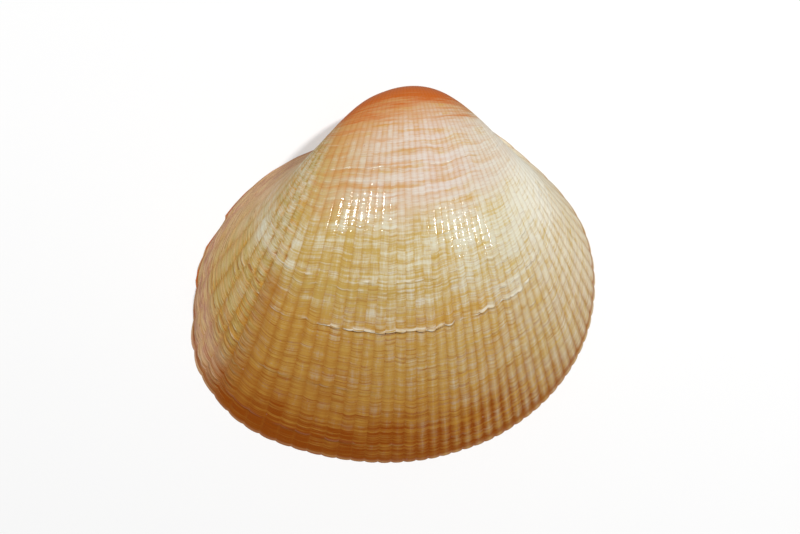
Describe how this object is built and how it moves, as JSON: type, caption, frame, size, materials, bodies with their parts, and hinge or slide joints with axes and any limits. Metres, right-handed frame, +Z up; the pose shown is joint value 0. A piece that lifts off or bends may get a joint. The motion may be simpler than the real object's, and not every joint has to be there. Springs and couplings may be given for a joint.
{
  "type": "cockle shell",
  "caption": "Single ribbed cockle valve, lying on its margin with the domed side up.",
  "frame": {"origin": "centre of the footprint, in the plane of the margin that the valve rests on", "axes": "+X towards the front end along the hinge line, +Y towards the beak, +Z up to the top of the dome"},
  "size_m": [0.0602, 0.0563, 0.0186],
  "materials": {
    "shell": "satin"
  },
  "bodies": {
    "root": {"shell": "shell"}
  },
  "joints": []
}
